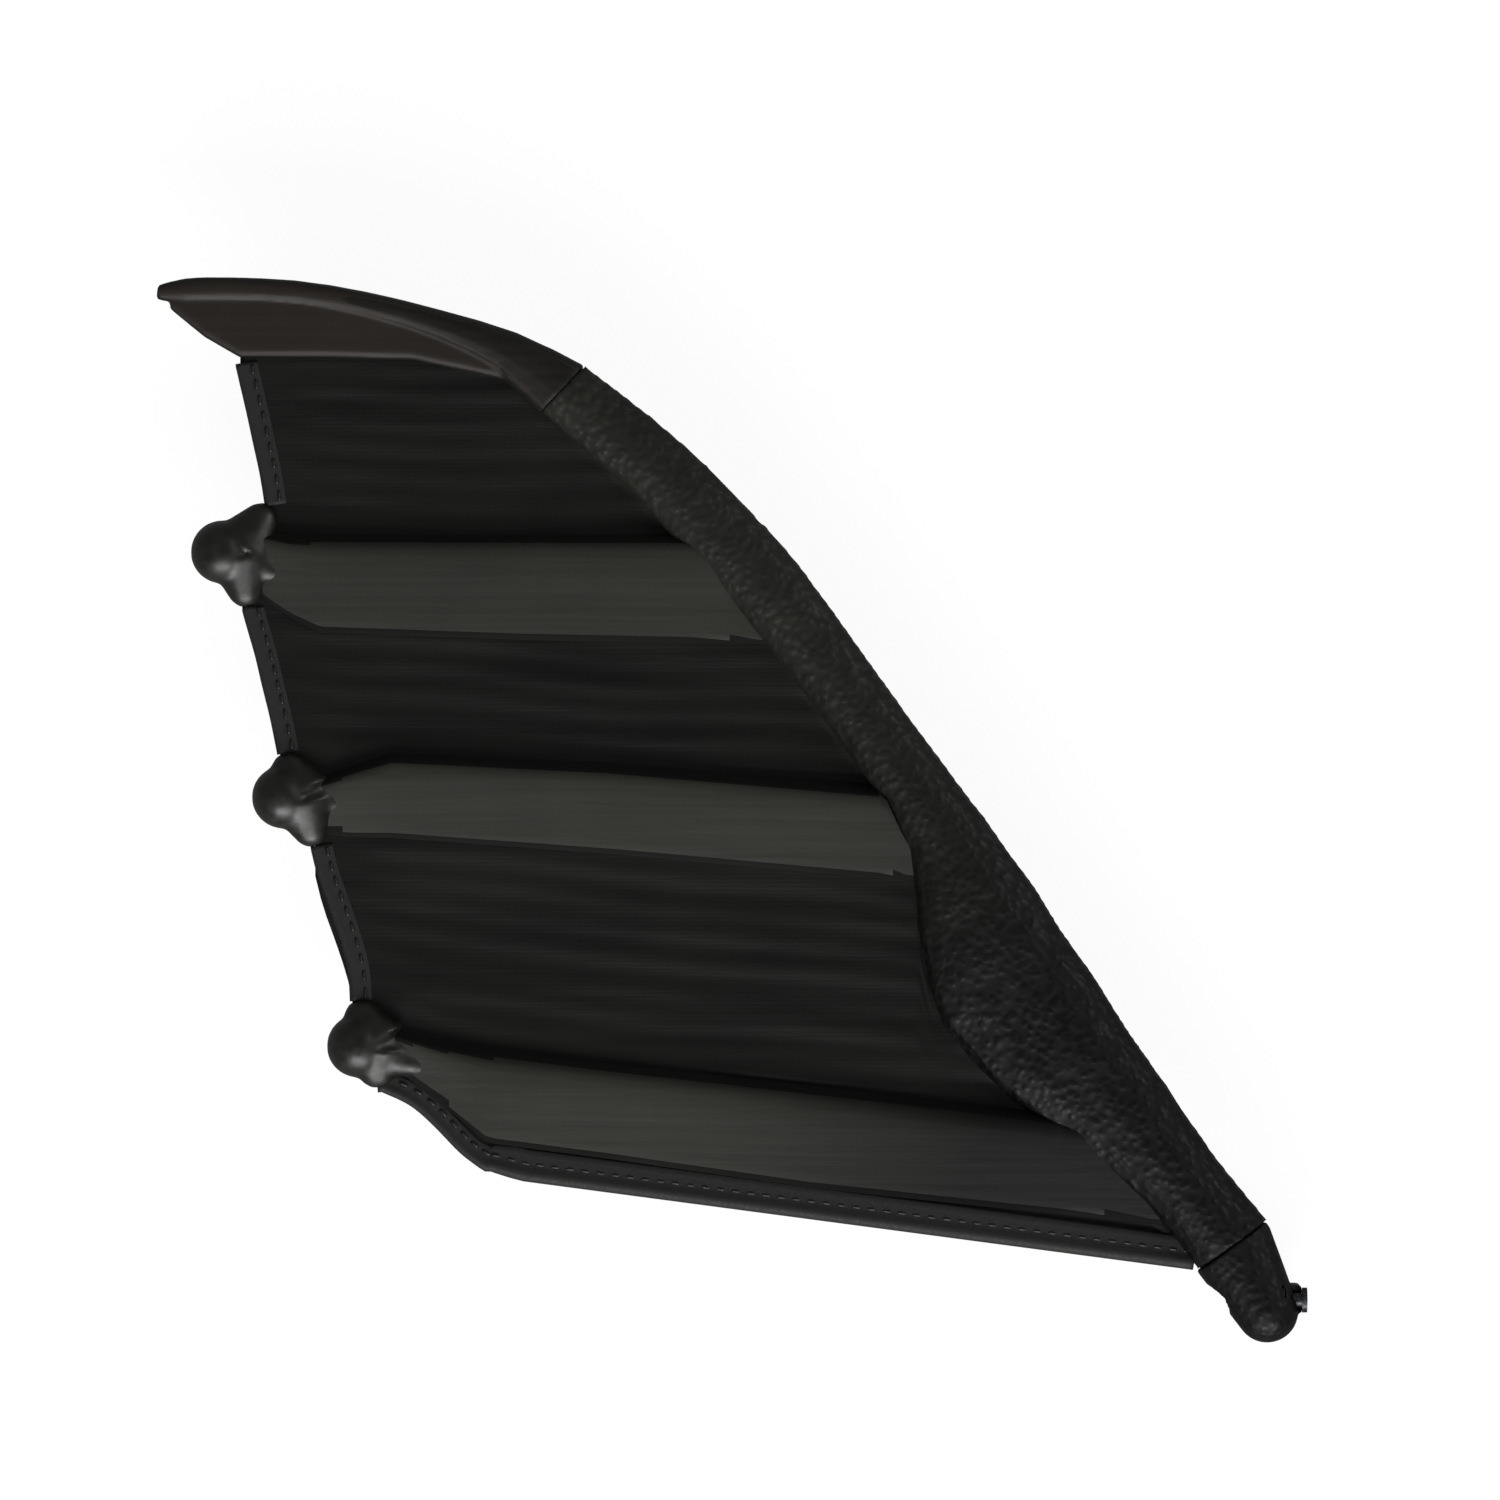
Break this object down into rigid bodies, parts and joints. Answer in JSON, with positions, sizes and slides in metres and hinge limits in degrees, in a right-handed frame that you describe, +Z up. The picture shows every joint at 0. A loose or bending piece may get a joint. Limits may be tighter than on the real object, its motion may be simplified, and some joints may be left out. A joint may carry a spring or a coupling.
{
  "type": "flapping wing panel",
  "caption": "Left wing panel of a flapping remote-controlled bat: shoulder bracket, turning spar, clamped fingers with soft bulbs, thin web and a hand that folds down.",
  "frame": {"origin": "on the plane of the deck that the shoulder bracket bolts to, directly below the flap axis", "axes": "+X towards the nose, along the flap axis; +Y outboard along the span; +Z up, away from the deck"},
  "size_m": [0.2302, 0.2131, 0.0278],
  "materials": {
    "moulded_nylon": "moulded, satin",
    "grained_skin": "moulded with a pebbled leather grain",
    "satin_nylon": "moulded, satin, fine lengthwise grain",
    "coated_web": "coated woven web",
    "bound_hem": "bound and stitched cord",
    "bulb_rubber": "soft moulded rubber",
    "carbon_rod": "pultruded carbon, lacquered",
    "sintered_bronze": "sintered",
    "acetal": "turned",
    "ground_steel": "ground",
    "spring_steel": "drawn wire and stamped strip",
    "screw_steel": "blackened"
  },
  "bodies": {
    "bracket": {"shoulder_bracket": "moulded_nylon", "flap_bushes": "sintered_bronze"},
    "yoke": {"shoulder_yoke": "moulded_nylon", "flap_pin": "ground_steel", "flap_pin_clip": "spring_steel", "spar_bush_inner": "acetal", "spar_bush_outer": "acetal", "feather_spring": "spring_steel"},
    "arm": {"spar_tube": "carbon_rod", "feather_stop_pin": "ground_steel", "arm_shell_upper": "grained_skin", "arm_shell_lower": "grained_skin", "arm_screws": "screw_steel", "finger_socket_2": "moulded_nylon", "finger_socket_3": "moulded_nylon", "wrist_block": "moulded_nylon", "wrist_pin": "ground_steel", "wrist_pin_clip": "spring_steel", "finger_1_upper": "satin_nylon", "finger_1_lower": "satin_nylon", "finger_1_rod": "carbon_rod", "finger_1_bulb": "bulb_rubber", "finger_2_upper": "satin_nylon", "finger_2_lower": "satin_nylon", "finger_2_rod": "carbon_rod", "finger_2_bulb": "bulb_rubber", "finger_3_upper": "satin_nylon", "finger_3_lower": "satin_nylon", "finger_3_rod": "carbon_rod", "finger_3_bulb": "bulb_rubber", "finger_screws": "screw_steel", "web_hinge_strip": "coated_web", "web_middle": "coated_web", "web_root": "coated_web", "web_edge_strip": "coated_web", "hem_middle": "bound_hem", "hem_root": "bound_hem", "hem_corner": "bound_hem", "root_edge_rod": "carbon_rod", "wrist_spring": "spring_steel"},
    "hand": {"hand_shell_upper": "grained_skin", "hand_shell_lower": "grained_skin", "hand_screws": "screw_steel", "hand_rod": "carbon_rod", "wrist_knuckle": "moulded_nylon", "wrist_bush": "sintered_bronze", "tip_digit": "satin_nylon", "web_tip": "coated_web", "hem_tip": "bound_hem"}
  },
  "joints": [
    {"name": "flap", "type": "hinge", "parent": "bracket", "child": "yoke", "pos_m": [0, 0, 0.021], "axis": [1, 0, 0], "range_deg": [-20, 40]},
    {"name": "feather", "type": "hinge", "parent": "yoke", "child": "arm", "pos_m": [0, 0, 0.021], "axis": [-0.5842, 0.8116, 0], "range_deg": [-12, 12], "stiffness_Nm_per_rad": 1.2},
    {"name": "wrist_fold", "type": "hinge", "parent": "arm", "child": "hand", "pos_m": [-0.11, 0.1546, 0.021], "axis": [-1, 0, 0], "range_deg": [0, 50], "stiffness_Nm_per_rad": 0.03, "springref_deg": -28.65}
  ]
}
